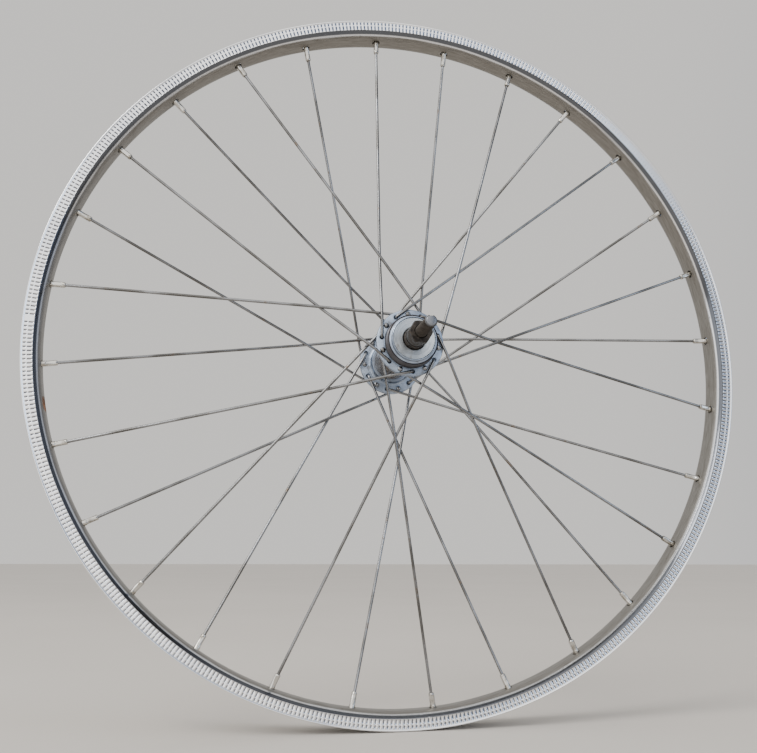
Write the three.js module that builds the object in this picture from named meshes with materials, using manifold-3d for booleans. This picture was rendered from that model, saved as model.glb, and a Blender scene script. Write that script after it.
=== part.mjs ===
// A rear bicycle wheel for a screw-on freewheel: a chromed steel rim, 28 crossed spokes with nipples,
// a three-piece steel hub shell, and the cup-and-cone bearings, axle and nuts inside it.
// Millimetres. The wheel turns about +Y, its drive side faces -Y, and +Z is up. The origin is the point
// on the axle in the rim's middle plane.
import * as THREE from "three";
import { mergeVertices } from "three/addons/utils/BufferGeometryUtils.js";
import Module from "manifold-3d";

const wasm = await Module();
wasm.setup();

// ---- Driving dimensions -------------------------------------------------------------------------
const TURN = 2 * Math.PI;
const GAP = 0.3; // between pieces that touch

const SPOKES = 28;
const CROSSES = 3;
const FIRST_SPOKE_ANGLE = (4.9 * Math.PI) / 180; // of spoke 1, from +X towards +Z
const SPOKE_STEP = TURN / SPOKES;
const CROSS_ANGLE = (CROSSES * TURN) / (SPOKES / 2);
const SPOKE_RADIUS = 1.0;
const SPOKE_HEAD_RADIUS = 1.8;
const SPOKE_HEAD_HEIGHT = 1.3;
const ELBOW_LIFT = 2.3; // keeps a wire on the flange's outer face clear of the flange's edge

const RIM_RADIUS = 251.9;
const RIM_HALF_WIDTH = 12.2;
const RIM_TRACK_LEAN = 1.2; // the track is this much nearer the middle plane at its inner edge
const RIM_LIP = 2.2; // thickness of the lip that holds the tyre's bead
const RIM_BED_HALF_WIDTH = 4.6;
const RIM_TRACK_RADIUS = 244.2; // inner edge of the braking track
const RIM_BED_RADIUS = 240.4; // hub side of the spoke bed
const RIM_SHEET = 1.3;
const RIM_FACETS = 56;
const BED_DRILL = [-3, 4]; // a hole in the bed is cut from here to here, past both its faces
const VALVE_HOLE_RADIUS = 3.3;
const VALVE_STEP = 14.5; // spokes round from spoke 1, midway between two nipples
const SEAM_STEP = 13.5; // where the rim's two ends are welded, likewise
const SEAM_BEAD = { length: 6.0, width: 7.0, height: 1.1 }; // left by the weld in the tyre channel

const NIPPLE_RADIUS = 1.95;
const NIPPLE_TIP_RADIUS = 1.7;
const NIPPLE_HEAD_RADIUS = 3.1;
const NIPPLE_HEAD_HEIGHT = 2.0;
const NIPPLE_REACH = 9.5; // how far the nipple stands out of the bed towards the hub
const NIPPLE_BEND = [-2.5, -1.5]; // the body turns from the spoke's line to the rim's radius here
const NIPPLE_OFFSET = 0.9; // from the rim's middle plane, towards the spoke's own flange

const FLANGE_RADIUS = 23.5;
const FLANGE_HALF_THICKNESS = 1.3;
const FLANGE_EDGE = 0.5; // how far the flange's rounded edge stands out
const FLANGE_HOLE_CIRCLE = 20.0;
const DRIVE_FLANGE = 24.5; // from the rim's middle plane to the flange's, on the drive side
const PLAIN_FLANGE = 41.0; // and on the other side
const LAST_CROSSING = { drive: 18.4, plain: 31.9 }; // depth from the rim's middle plane where wires interlace
const BARREL_RADIUS = 13.0;
const BARREL_BORE = 11.5;
const SLEEVE_RADIUS = 15.0; // the flange's own sleeve, round the barrel's end
const SLEEVE_END = 6.5;
const SLEEVE_FILLET = 2.0;
const CUP_BORE = 14.4; // in the flange, for the bearing cup and the dust cap
const SHELL_END = { drive: 13.8, plain: 8.3 }; // from the flange's middle plane out to the end of the shell
const CUP_SEAT = 10.8; // from the end of the shell in to the cup's shoulder
const SHELL_LIP = 0.6;
const THREAD_RADIUS = 17.35; // freewheel thread, major diameter 34.7
const THREAD_START = 2.3; // the freewheel seats on the shoulder here
const THREAD_END = 10.0;
const NECK_RADIUS = 15.3;
const SHOULDER_RADIUS = 18.1;

const BALLS = 9;
const BALL_RADIUS = 3.175;
const BALL_CIRCLE = 9.6;
const BALL_PLANE = 6.2; // from the end of the shell in to the ball centres
const RACE_RADIUS = BALL_RADIUS + 0.55; // leaves room for the facets of ball and race
const CUP_LENGTH = 7.5;
const CUP_HOLE_RADIUS = 8.4;
const RETAINER_HALF = { width: 0.7, height: 1.1 };
const DUST_CAP_CLEARANCE = 0.4; // round the cone
const DUST_CAP_THICKNESS = 1.0;

const AXLE_RADIUS = 4.0;
const AXLE_HALF_LENGTH = 83.5;
const AXLE_CHAMFER = 0.9;
const KEYWAY_WIDTH = 2.2;
const KEYWAY_DEPTH = 0.9;
const CONE_RADIUS = 7.3;
const CONE_FLAT_RADIUS = 7.0;
const CONE_NOSE = 2.5; // from the ball centres in to the cone's inner end
const CONE_RACE_TOP = (128 * Math.PI) / 180; // where the race meets the cone's outside
const OVER_LOCKNUT_HALF = 57.0;
const LOCKNUT_ACROSS_FLATS = 14.2;
const LOCKNUT_THICKNESS = { drive: 5.2, plain: 3.8 };
const WASHER_THICKNESS = 1.5;
const WASHER_RADIUS = 7.4;
const WASHER_TAB = 1.6;
const SPACER_RADIUS = 7.1;
const CONE_END = { drive: 42.0, plain: 51.0 }; // outer end of each cone, from the rim's middle plane

const ROUND_FACETS = 24;
const SMALL_SIDES = 6; // wires, nipples and spoke heads

// ---- Materials ----------------------------------------------------------------------------------
const metal = (color, roughness) => new THREE.MeshStandardMaterial({ color, roughness, metalness: 1.0 });
const CHROME = metal(0xc9ced4, 0.15);
const GALVANISED = metal(0xaab0b4, 0.45);
const NICKEL = metal(0xc4c2bb, 0.3);
const DULL_CHROME = metal(0xb3b9bf, 0.32);
const BEARING_STEEL = metal(0x8f9296, 0.2);
const OILED_STEEL = metal(0x3a3531, 0.5);

// ---- Geometry and solids ------------------------------------------------------------------------
// A closed three.js geometry as a solid, whichever way its faces are wound.
function solidOf(geometry) {
  const bare = geometry.clone();
  bare.deleteAttribute("normal");
  bare.deleteAttribute("uv");
  const merged = mergeVertices(bare, 1e-4);
  const corners = [];
  for (let i = 0; i < merged.index.count; i += 3) {
    const [a, b, c] = [0, 1, 2].map((j) => merged.index.getX(i + j));
    if (a !== b && b !== c && c !== a) corners.push(a, b, c);
  }
  const build = (order) =>
    new wasm.Manifold(
      new wasm.Mesh({
        numProp: 3,
        vertProperties: new Float32Array(merged.attributes.position.array),
        triVerts: new Uint32Array(order),
      }),
    );
  const solid = build(corners);
  return solid.volume() > 0 ? solid : build([...corners].reverse());
}

function geometryOf(solid) {
  const mesh = solid.getMesh();
  const positions = new Float32Array(mesh.numVert * 3);
  for (let i = 0; i < mesh.numVert; i++) {
    positions.set(mesh.vertProperties.subarray(i * mesh.numProp, i * mesh.numProp + 3), i * 3);
  }
  return new THREE.BufferGeometry()
    .setAttribute("position", new THREE.BufferAttribute(positions, 3))
    .setIndex(new THREE.BufferAttribute(new Uint32Array(mesh.triVerts), 1));
}

// A body turned about the Y axis. A ring's profile closes on itself; a shaft's starts and ends on the axis.
function turned(profile, facets = ROUND_FACETS, start = 0) {
  const points = profile.map(([radius, y]) => new THREE.Vector2(radius, y));
  if (profile[0][0] > 0) points.push(points[0].clone());
  return new THREE.LatheGeometry(points, facets, start);
}

// The same body with its faces pointing out, ready to be a piece.
const turnedPiece = (profile, facets) => geometryOf(solidOf(turned(profile, facets)));

const rectangle = (inner, outer, low, high) => [
  [inner, low],
  [outer, low],
  [outer, high],
  [inner, high],
];

// The points of a circular arc in a (radius, y) profile, both ends included.
function arc(centreRadius, centreY, radius, from, to, steps) {
  return Array.from({ length: steps + 1 }, (_, i) => {
    const angle = from + ((to - from) * i) / steps;
    return [centreRadius + radius * Math.cos(angle), centreY + radius * Math.sin(angle)];
  });
}

// A round peg from one point to another, as a solid.
function peg(from, to, radius, sides = SMALL_SIDES) {
  const along = new THREE.Vector3().subVectors(to, from);
  const geometry = new THREE.CylinderGeometry(radius, radius, along.length(), sides);
  geometry.applyQuaternion(new THREE.Quaternion().setFromUnitVectors(UP, along.clone().normalize()));
  return solidOf(geometry.translate(...from.clone().addScaledVector(along, 0.5).toArray()));
}

// A round wire through points that lie nearly on one line, mitred at each, as a solid.
function wire(points, radius, sides = SMALL_SIDES) {
  const last = points.length - 1;
  const positions = [];
  points.forEach((point, i) => {
    const ahead = new THREE.Vector3().subVectors(points[Math.min(i + 1, last)], points[Math.max(i - 1, 0)]);
    const across = new THREE.Vector3().crossVectors(ahead.normalize(), UP).normalize();
    const third = new THREE.Vector3().crossVectors(across, ahead);
    for (let j = 0; j < sides; j++) {
      const angle = (j * TURN) / sides;
      const corner = point.clone().addScaledVector(across, radius * Math.cos(angle));
      positions.push(...corner.addScaledVector(third, radius * Math.sin(angle)).toArray());
    }
  });
  const index = [];
  for (let a = 0; a < last * sides; a++) {
    const b = a % sides === sides - 1 ? a + 1 - sides : a + 1;
    index.push(a, b, a + sides, b, b + sides, a + sides);
  }
  const end = last * sides;
  for (let j = 2; j < sides; j++) {
    index.push(0, j, j - 1);
    index.push(end, end + j - 1, end + j);
  }
  const geometry = new THREE.BufferGeometry().setIndex(index);
  return solidOf(geometry.setAttribute("position", new THREE.Float32BufferAttribute(positions, 3)));
}

const UP = new THREE.Vector3(0, 1, 0);
// A point from its distance to the axle, its angle from +X towards +Z, and its distance to the drive side.
const around = (radius, angle, out) =>
  new THREE.Vector3(radius * Math.cos(angle), -out, radius * Math.sin(angle));

// ---- Rim ----------------------------------------------------------------------------------------
function rimProfile() {
  const outside = [
    [RIM_BED_RADIUS, RIM_BED_HALF_WIDTH],
    [RIM_TRACK_RADIUS, RIM_HALF_WIDTH - RIM_TRACK_LEAN],
    [RIM_RADIUS, RIM_HALF_WIDTH],
  ];
  const inside = [
    [RIM_RADIUS, RIM_HALF_WIDTH - RIM_LIP],
    [RIM_TRACK_RADIUS + RIM_SHEET, RIM_HALF_WIDTH - RIM_TRACK_LEAN - RIM_SHEET],
    [RIM_BED_RADIUS + RIM_SHEET, RIM_BED_HALF_WIDTH - RIM_SHEET / 3],
  ];
  const half = [...outside, ...inside];
  const mirrored = half.map(([radius, y]) => [radius, -y]).reverse();
  return [...half, ...mirrored];
}

function rim() {
  const facet = TURN / RIM_FACETS;
  // LatheGeometry starts at +Z and turns towards +X, so this lines a facet up with every spoke.
  const start = Math.PI / 2 - FIRST_SPOKE_ANGLE + facet / 2;
  let solid = solidOf(turned(rimProfile(), RIM_FACETS, start));
  for (let k = 0; k < SPOKES; k++) {
    const { rimAngle, side } = lacing(k);
    const offset = side * NIPPLE_OFFSET;
    const hole = BED_DRILL.map((d) => around(RIM_BED_RADIUS + d, rimAngle, offset));
    solid = solid.subtract(peg(hole[0], hole[1], NIPPLE_RADIUS + GAP));
  }
  const valveAngle = FIRST_SPOKE_ANGLE + VALVE_STEP * SPOKE_STEP;
  const valve = BED_DRILL.map((d) => around(RIM_BED_RADIUS + d, valveAngle, 0));
  solid = solid.subtract(peg(valve[0], valve[1], VALVE_HOLE_RADIUS, 2 * SMALL_SIDES));
  const seamAngle = FIRST_SPOKE_ANGLE + SEAM_STEP * SPOKE_STEP;
  const floor = (RIM_BED_RADIUS + RIM_SHEET) * Math.cos(facet / 2);
  const bead = new THREE.BoxGeometry(2 * SEAM_BEAD.height, SEAM_BEAD.width, SEAM_BEAD.length);
  bead.rotateY(-seamAngle).translate(...around(floor, seamAngle, 0).toArray());
  return geometryOf(solid.add(solidOf(bead)));
}

// ---- Spokes and nipples -------------------------------------------------------------------------
// Spokes go to the two flanges by turns, and on each flange every other one lies on the outer face.
function lacing(k) {
  const side = k % 2 === 1 ? 1 : -1; // +1 is the drive side
  const outer = side === 1 ? k % 4 === 3 : k % 4 === 0; // the wire lies on the flange's outer face
  const rimAngle = FIRST_SPOKE_ANGLE + k * SPOKE_STEP;
  const lean = outer ? 1 : -1;
  const hubAngle = rimAngle + lean * CROSS_ANGLE;
  return { side, outer, rimAngle, hubAngle, crossAngle: rimAngle + lean * SPOKE_STEP };
}

// Where the straight line between two points, seen along the axle, meets the ray at an angle.
function onRay(from, to, angle) {
  const across = (point) => point.x * Math.sin(angle) - point.z * Math.cos(angle);
  const share = across(from) / (across(from) - across(to));
  return from.clone().lerp(to, share);
}

// A turned profile stood at a point, with its +Y along a direction.
function stood(profile, at, direction) {
  const geometry = turned(profile, SMALL_SIDES);
  geometry.applyQuaternion(new THREE.Quaternion().setFromUnitVectors(UP, direction));
  return solidOf(geometry.translate(...at.toArray()));
}

function spokeWithNipple(k) {
  const { side, outer, rimAngle, hubAngle, crossAngle } = lacing(k);
  const plane = side === 1 ? DRIVE_FLANGE : PLAIN_FLANGE;
  const depth = side === 1 ? LAST_CROSSING.drive : LAST_CROSSING.plain;
  const wireSide = outer ? 1 : -1; // towards the outer or the inner face of the flange
  const clear = FLANGE_HALF_THICKNESS + GAP;
  const lift = clear + SPOKE_RADIUS + (outer ? ELBOW_LIFT : 0);
  const elbow = around(FLANGE_HOLE_CIRCLE, hubAngle, side * (plane + wireSide * lift));
  const seat = around(FLANGE_HOLE_CIRCLE, hubAngle, side * (plane - wireSide * clear));
  const bed = around(RIM_BED_RADIUS, rimAngle, side * NIPPLE_OFFSET);
  // At its last crossing the outer wire goes under the inner one, and both bend a little there.
  const crossing = onRay(elbow, bed, crossAngle).setY(-side * (depth - wireSide * (SPOKE_RADIUS + GAP / 2)));
  const leaving = new THREE.Vector3().subVectors(crossing, elbow).normalize();
  const outward = new THREE.Vector3().subVectors(bed, crossing).normalize();
  const radial = around(1, rimAngle, 0);
  const shank = new THREE.Vector3().subVectors(seat, elbow).normalize();
  const head = [
    [0, 0],
    [SPOKE_HEAD_RADIUS, 0],
    [SPOKE_HEAD_RADIUS * 0.6, SPOKE_HEAD_HEIGHT],
    [0, SPOKE_HEAD_HEIGHT],
  ];
  const nippleBody = [
    [0, -NIPPLE_REACH],
    [NIPPLE_TIP_RADIUS, -NIPPLE_REACH],
    [NIPPLE_RADIUS, NIPPLE_BEND[1]],
    [0, NIPPLE_BEND[1]],
  ];
  const headSeat = RIM_SHEET + GAP;
  const nippleHead = [
    [0, NIPPLE_BEND[0]],
    [NIPPLE_RADIUS * 0.97, NIPPLE_BEND[0]],
    [NIPPLE_RADIUS * 0.97, headSeat],
    [NIPPLE_HEAD_RADIUS, headSeat + GAP],
    [0, headSeat + NIPPLE_HEAD_HEIGHT],
  ];
  const threadEnd = bed.clone().addScaledVector(outward, -NIPPLE_REACH / 2);
  return geometryOf(
    wire([elbow.clone().addScaledVector(leaving, -SPOKE_RADIUS / 2), crossing, threadEnd], SPOKE_RADIUS)
      .add(peg(elbow, seat.clone().addScaledVector(shank, SPOKE_HEAD_HEIGHT / 2), SPOKE_RADIUS))
      .add(stood(head, seat, shank))
      .add(stood(nippleBody, bed, outward))
      .add(stood(nippleHead, bed, radial)),
  );
}

// ---- Hub shell ----------------------------------------------------------------------------------
// Profiles below are [radius, distance out from the flange's middle plane]; onSide puts them in place.
const onSide = (profile, side, plane) => profile.map(([radius, out]) => [radius, -side * (plane + out)]);

const FLANGE_FACE = [
  [BARREL_RADIUS + GAP, -SLEEVE_END],
  [SLEEVE_RADIUS, -SLEEVE_END],
  [SLEEVE_RADIUS, -FLANGE_HALF_THICKNESS - SLEEVE_FILLET],
  [SLEEVE_RADIUS + SLEEVE_FILLET, -FLANGE_HALF_THICKNESS],
  [FLANGE_RADIUS - FLANGE_EDGE, -FLANGE_HALF_THICKNESS],
  [FLANGE_RADIUS, 0],
  [FLANGE_RADIUS - FLANGE_EDGE, FLANGE_HALF_THICKNESS],
  [SHOULDER_RADIUS, FLANGE_HALF_THICKNESS],
];

function flange(side, plane, outside, end) {
  const mouth = [
    [NECK_RADIUS, end - 1],
    [CUP_BORE + SHELL_LIP, end],
    [CUP_BORE, end],
    [CUP_BORE, end - CUP_SEAT],
    [BARREL_RADIUS + GAP, end - CUP_SEAT],
  ];
  const profile = [...FLANGE_FACE, ...outside, ...mouth];
  let solid = solidOf(turned(onSide(profile, side, plane), SPOKES));
  for (let k = side === 1 ? 1 : 0; k < SPOKES; k += 2) {
    const { hubAngle } = lacing(k);
    const ends = [-1, 1].map((way) => {
      const out = 2 * way * FLANGE_HALF_THICKNESS;
      return around(FLANGE_HOLE_CIRCLE, hubAngle, side * (plane + out));
    });
    solid = solid.subtract(peg(ends[0], ends[1], SPOKE_RADIUS + GAP));
  }
  return geometryOf(solid);
}

// The drive side carries the freewheel's shoulder and thread.
const DRIVE_OUTSIDE = [
  [SHOULDER_RADIUS, THREAD_START],
  [THREAD_RADIUS, THREAD_START],
  [THREAD_RADIUS, THREAD_END],
  [NECK_RADIUS, THREAD_END],
];
const driveFlange = () => flange(1, DRIVE_FLANGE, DRIVE_OUTSIDE, SHELL_END.drive);

const PLAIN_OUTSIDE = [[NECK_RADIUS + SHELL_LIP, THREAD_START]];
const plainFlange = () => flange(-1, PLAIN_FLANGE, PLAIN_OUTSIDE, SHELL_END.plain);

const barrel = () => {
  const low = -(DRIVE_FLANGE + SHELL_END.drive - CUP_SEAT - GAP);
  const high = PLAIN_FLANGE + SHELL_END.plain - CUP_SEAT - GAP;
  return turnedPiece(rectangle(BARREL_BORE, BARREL_RADIUS, low, high), 32);
};

const cup = (side, plane, end) => {
  const ballPlane = end - BALL_PLANE;
  const outerRadius = CUP_BORE - GAP;
  const back = end - CUP_SEAT + GAP;
  const profile = [
    [CUP_HOLE_RADIUS, back],
    [outerRadius, back],
    [outerRadius, back + CUP_LENGTH],
    [BALL_CIRCLE + RACE_RADIUS, back + CUP_LENGTH],
    ...arc(BALL_CIRCLE, ballPlane, RACE_RADIUS, 0, -Math.PI / 2, 2),
    [CUP_HOLE_RADIUS, ballPlane - RACE_RADIUS],
  ];
  return turnedPiece(onSide(profile, side, plane));
};

const dustCap = (side, plane, end) => {
  const hole = CONE_RADIUS + DUST_CAP_CLEARANCE;
  const top = end - DUST_CAP_THICKNESS / 2;
  const profile = [
    [hole, top - DUST_CAP_THICKNESS],
    [CUP_BORE - GAP, top - 2 * DUST_CAP_THICKNESS],
    [CUP_BORE - GAP, top],
    [hole, top],
  ];
  return turnedPiece(onSide(profile, side, plane));
};

// ---- Bearings and axle --------------------------------------------------------------------------
function ballRetainer(side, plane, end) {
  const centre = side * (plane + end - BALL_PLANE);
  const { width, height } = RETAINER_HALF;
  const section = rectangle(BALL_CIRCLE - width, BALL_CIRCLE + width, -centre - height, -centre + height);
  let solid = solidOf(turned(section, 2 * BALLS));
  for (let i = 0; i < BALLS; i++) {
    const at = around(BALL_CIRCLE, (i * TURN) / BALLS, centre);
    solid = solid.add(solidOf(new THREE.SphereGeometry(BALL_RADIUS, 6, 5).translate(...at.toArray())));
  }
  return geometryOf(solid);
}

const BORE_ON_AXLE = AXLE_RADIUS + GAP;

// The cone's race curves round the balls' inner side, and its outer end takes a thin spanner.
function cone(side, plane, shellEnd, end) {
  const ballPlane = shellEnd - BALL_PLANE;
  const nose = ballPlane - CONE_NOSE;
  const profile = [
    [BORE_ON_AXLE, nose],
    [BALL_CIRCLE - RACE_RADIUS, nose],
    ...arc(BALL_CIRCLE, ballPlane, RACE_RADIUS, Math.PI, CONE_RACE_TOP, 2),
    [CONE_RADIUS, ballPlane + RACE_RADIUS],
    [CONE_RADIUS, shellEnd],
    [CONE_FLAT_RADIUS, shellEnd],
    [CONE_FLAT_RADIUS, end - plane],
    [BORE_ON_AXLE, end - plane],
  ];
  return turnedPiece(onSide(profile, side, plane));
}

const ring = (side, inner, outer, from, to) =>
  turnedPiece(rectangle(inner, outer, -side * from, -side * to), 24);

// A washer whose inner tab sits in the axle's keyway.
function keyedWasher(side, from) {
  const plate = solidOf(ring(side, BORE_ON_AXLE, WASHER_RADIUS, from, from + WASHER_THICKNESS));
  const tabFoot = AXLE_RADIUS - KEYWAY_DEPTH + GAP;
  const tab = new THREE.BoxGeometry(KEYWAY_WIDTH - 2 * GAP, WASHER_THICKNESS, WASHER_TAB);
  tab.translate(0, -side * (from + WASHER_THICKNESS / 2), tabFoot + WASHER_TAB / 2);
  return geometryOf(plate.add(solidOf(tab)));
}

function locknut(side, thickness) {
  const middle = -side * (OVER_LOCKNUT_HALF - thickness / 2);
  const corner = LOCKNUT_ACROSS_FLATS / Math.sqrt(3);
  const hexagon = new THREE.CylinderGeometry(corner, corner, thickness, 6).rotateY(TURN / 12);
  const hole = new THREE.CylinderGeometry(BORE_ON_AXLE, BORE_ON_AXLE, 2 * thickness, ROUND_FACETS);
  const nut = solidOf(hexagon.translate(0, middle, 0));
  return geometryOf(nut.subtract(solidOf(hole.translate(0, middle, 0))));
}

function axle() {
  const end = AXLE_HALF_LENGTH;
  const tip = AXLE_RADIUS - AXLE_CHAMFER;
  const profile = [
    [0, -end],
    [tip, -end],
    [AXLE_RADIUS, -end + AXLE_CHAMFER],
    [AXLE_RADIUS, end - AXLE_CHAMFER],
    [tip, end],
    [0, end],
  ];
  let solid = solidOf(turned(profile, 24));
  for (const side of [-1, 1]) {
    const length = 2 * (end - PLAIN_FLANGE);
    const slot = new THREE.BoxGeometry(KEYWAY_WIDTH, length, 2 * KEYWAY_DEPTH);
    slot.translate(0, side * end, AXLE_RADIUS);
    solid = solid.subtract(solidOf(slot));
  }
  return geometryOf(solid);
}

// ---- Assembly -----------------------------------------------------------------------------------
const wheel = new THREE.Group();

function add(name, geometry, material) {
  const mesh = new THREE.Mesh(geometry, material);
  mesh.name = name;
  wheel.add(mesh);
}

add("rim", rim(), CHROME);
for (let k = 0; k < SPOKES; k++) {
  add(`spoke_${String(k + 1).padStart(2, "0")}`, spokeWithNipple(k), GALVANISED);
}
add("drive_flange", driveFlange(), DULL_CHROME);
add("plain_flange", plainFlange(), DULL_CHROME);
add("hub_barrel", barrel(), DULL_CHROME);

const SIDES = [
  ["drive", 1, DRIVE_FLANGE, SHELL_END.drive],
  ["plain", -1, PLAIN_FLANGE, SHELL_END.plain],
];
for (const [name, side, plane, end] of SIDES) {
  add(`${name}_bearing_cup`, cup(side, plane, end), BEARING_STEEL);
  add(`${name}_dust_cap`, dustCap(side, plane, end), NICKEL);
  add(`${name}_ball_retainer`, ballRetainer(side, plane, end), BEARING_STEEL);
  add(`${name}_cone`, cone(side, plane, end, CONE_END[name]), OILED_STEEL);
  add(`${name}_keyed_washer`, keyedWasher(side, CONE_END[name] + GAP), OILED_STEEL);
  add(`${name}_locknut`, locknut(side, LOCKNUT_THICKNESS[name]), OILED_STEEL);
}
const spacerStart = CONE_END.drive + 2 * GAP + WASHER_THICKNESS;
const spacerEnd = OVER_LOCKNUT_HALF - LOCKNUT_THICKNESS.drive - GAP;
add("drive_spacer", ring(1, BORE_ON_AXLE, SPACER_RADIUS, spacerStart, spacerEnd), OILED_STEEL);
add("axle", axle(), OILED_STEEL);

export default wheel;
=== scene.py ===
import math

import bmesh
import bpy
import numpy as np
from mathutils import Matrix


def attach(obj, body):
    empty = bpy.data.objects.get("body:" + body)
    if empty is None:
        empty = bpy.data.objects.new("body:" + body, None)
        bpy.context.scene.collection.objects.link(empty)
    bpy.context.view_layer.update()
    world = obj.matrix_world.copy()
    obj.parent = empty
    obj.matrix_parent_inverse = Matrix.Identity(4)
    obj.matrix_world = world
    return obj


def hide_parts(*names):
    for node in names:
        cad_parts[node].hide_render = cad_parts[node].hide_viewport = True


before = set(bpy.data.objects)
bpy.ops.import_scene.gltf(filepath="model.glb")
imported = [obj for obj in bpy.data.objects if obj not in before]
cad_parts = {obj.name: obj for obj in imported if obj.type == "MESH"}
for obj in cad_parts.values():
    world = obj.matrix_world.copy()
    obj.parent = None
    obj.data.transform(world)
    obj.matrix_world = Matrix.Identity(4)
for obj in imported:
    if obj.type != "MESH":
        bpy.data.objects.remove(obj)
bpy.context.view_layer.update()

MM = 0.001
TURN = 2 * math.pi

# ---- Dimensions, as in the CAD ------------------------------------------------------------------
SPOKES = 28
FIRST_SPOKE_ANGLE = math.radians(4.9)
SPOKE_STEP = TURN / SPOKES
CROSS_ANGLE = 3 * TURN / 14
SPOKE_RADIUS = 1.0
RIM_RADIUS = 251.7
TRACK_INNER = 244.2
TRACK_OUTER = 250.4
TRACK_SPLIT = 247.7  # the plain line between the two rows of ribs
RIBS = 576
RIB_HEIGHT = 0.4
TRACK_FOOT = 11.0  # from the middle plane to the track between its ribs, at its inner edge
TRACK_LEAN = 0.09
BED_RADIUS = 240.35
VALVE_ANGLE = FIRST_SPOKE_ANGLE + 14.5 * SPOKE_STEP
SEAM_ANGLE = FIRST_SPOKE_ANGLE + 13.5 * SPOKE_STEP
NIPPLE_OFFSET = 0.9
NIPPLE_REACH = 9.5
FLANGE_RADIUS = 23.5
FLANGE_HALF = 1.3
HOLE_CIRCLE = 20.0
PLANE = {"drive": 24.5, "plain": 41.0}
LAST_CROSSING = {"drive": 18.4, "plain": 31.9}
WAY = {"drive": 1, "plain": -1}  # the drive side faces -Y
BARREL_RADIUS = 13.0
CUP_BORE = 14.4
SHELL_FACE = {"drive": 38.3, "plain": 49.3}
CUP_SEAT = -10.8  # from the end of the shell, like the next heights in it
BALL_PLANE = -6.2
THREAD_RADIUS = 17.35
THREAD_START = 2.3
THREAD_END = 10.0
SHOULDER_RADIUS = 18.1
NECK_RADIUS = 15.3
BALLS = 9
BALL_RADIUS = 3.175
BALL_CIRCLE = 9.6
AXLE_RADIUS = 4.0
AXLE_HALF = 83.5
CONE_END = {"drive": 42.0, "plain": 51.0}
LOCKNUT = {"drive": 5.2, "plain": 3.8}
OVER_LOCKNUT_HALF = 57.0

# ---- Camera, lights and stage -------------------------------------------------------------------
scene = bpy.context.scene
camera_data = bpy.data.cameras.new("camera")
camera_data.lens = 40.43
camera_data.sensor_width = 36.0
camera_data.shift_x = -0.0121
camera_data.shift_y = 0.0053
camera = bpy.data.objects.new("camera", camera_data)
camera.location = (-0.12796, -0.57257, -0.14099)
camera.rotation_euler = [math.radians(a) for a in (101.544, -0.178, -11.639)]
scene.collection.objects.link(camera)
scene.camera = camera


def area_light(name, place, size, power, color):
    data = bpy.data.lights.new(name, "AREA")
    data.size = size
    data.energy = power
    data.color = color
    light = bpy.data.objects.new(name, data)
    light.location = place
    light.rotation_euler = (-light.location).to_track_quat("-Z", "Y").to_euler()
    scene.collection.objects.link(light)


area_light("key", (-1.5, -1.0, 1.5), 1.1, 34, (1.0, 0.98, 0.95))
area_light("fill", (1.7, -1.5, 0.5), 1.0, 8, (0.72, 0.84, 1.0))


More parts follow.
